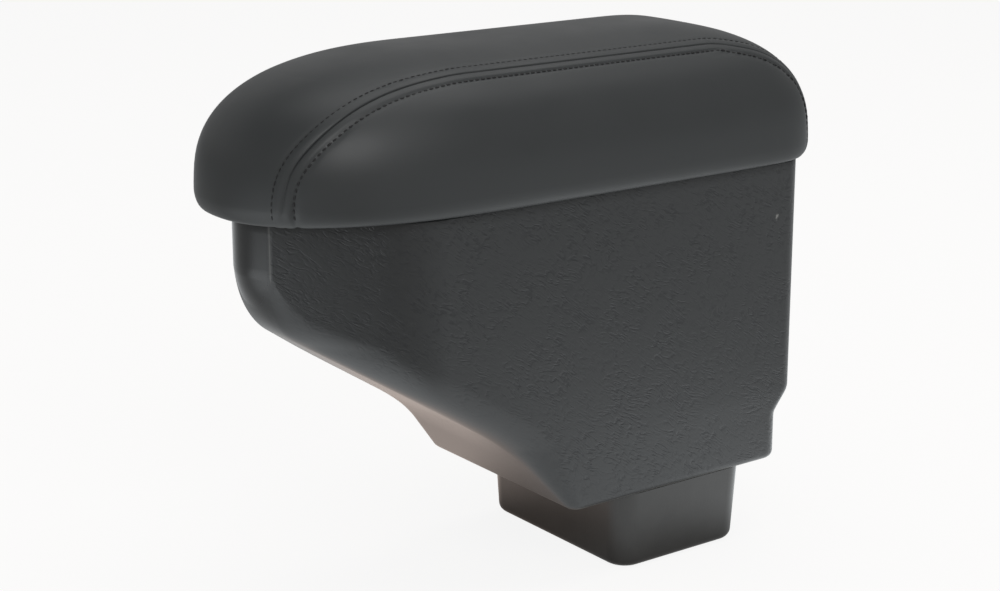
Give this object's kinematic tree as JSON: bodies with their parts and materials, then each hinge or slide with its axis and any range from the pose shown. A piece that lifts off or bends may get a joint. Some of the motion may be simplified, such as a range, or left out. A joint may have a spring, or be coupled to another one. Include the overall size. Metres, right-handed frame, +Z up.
{
  "type": "car centre armrest",
  "caption": "Centre armrest for a car: padded leatherette lid hinged on a formed storage box, on a plug that fits into a console well.",
  "frame": {"origin": "centre of the plug's flat bottom face, where it rests on the floor of the car's console well", "axes": "+X towards the rear of the car, along the armrest; +Y across the car; +Z up"},
  "size_m": [0.291, 0.128, 0.2466],
  "materials": {
    "abs_grained": "charcoal ABS with a fine leather grain",
    "abs_smooth": "plain black ABS",
    "leatherette": "smooth charcoal leatherette with black twin stitching",
    "foam": "soft polyurethane foam",
    "board": "plain pressed wood board",
    "mat": "matte ribless mat",
    "buffer_rubber": "matte",
    "steel": "zinc plated"
  },
  "bodies": {
    "box": {"console_plug": "abs_smooth", "box_shell": "abs_grained", "rim_frame": "abs_smooth", "lid_buffers": "buffer_rubber", "floor_board": "board", "compartment_mat": "mat", "plug_screws": "steel", "plug_washers": "steel", "hinge_box_leaf": "steel", "box_leaf_screws": "steel", "hinge_pin": "steel"},
    "lid": {"hinge_lid_leaf": "steel", "lid_leaf_screws": "steel", "lid_board": "board", "lid_foam": "foam", "cover_centre_panel": "leatherette", "cover_left_panel": "leatherette", "cover_right_panel": "leatherette", "cover_staples": "steel", "lid_liner_panel": "abs_smooth", "liner_screws": "steel"}
  },
  "joints": [
    {"name": "lid_hinge", "type": "hinge", "parent": "box", "child": "lid", "pos_m": [0.0696, 0, 0.1825], "axis": [0, 1, 0], "range_deg": [0, 105]}
  ]
}
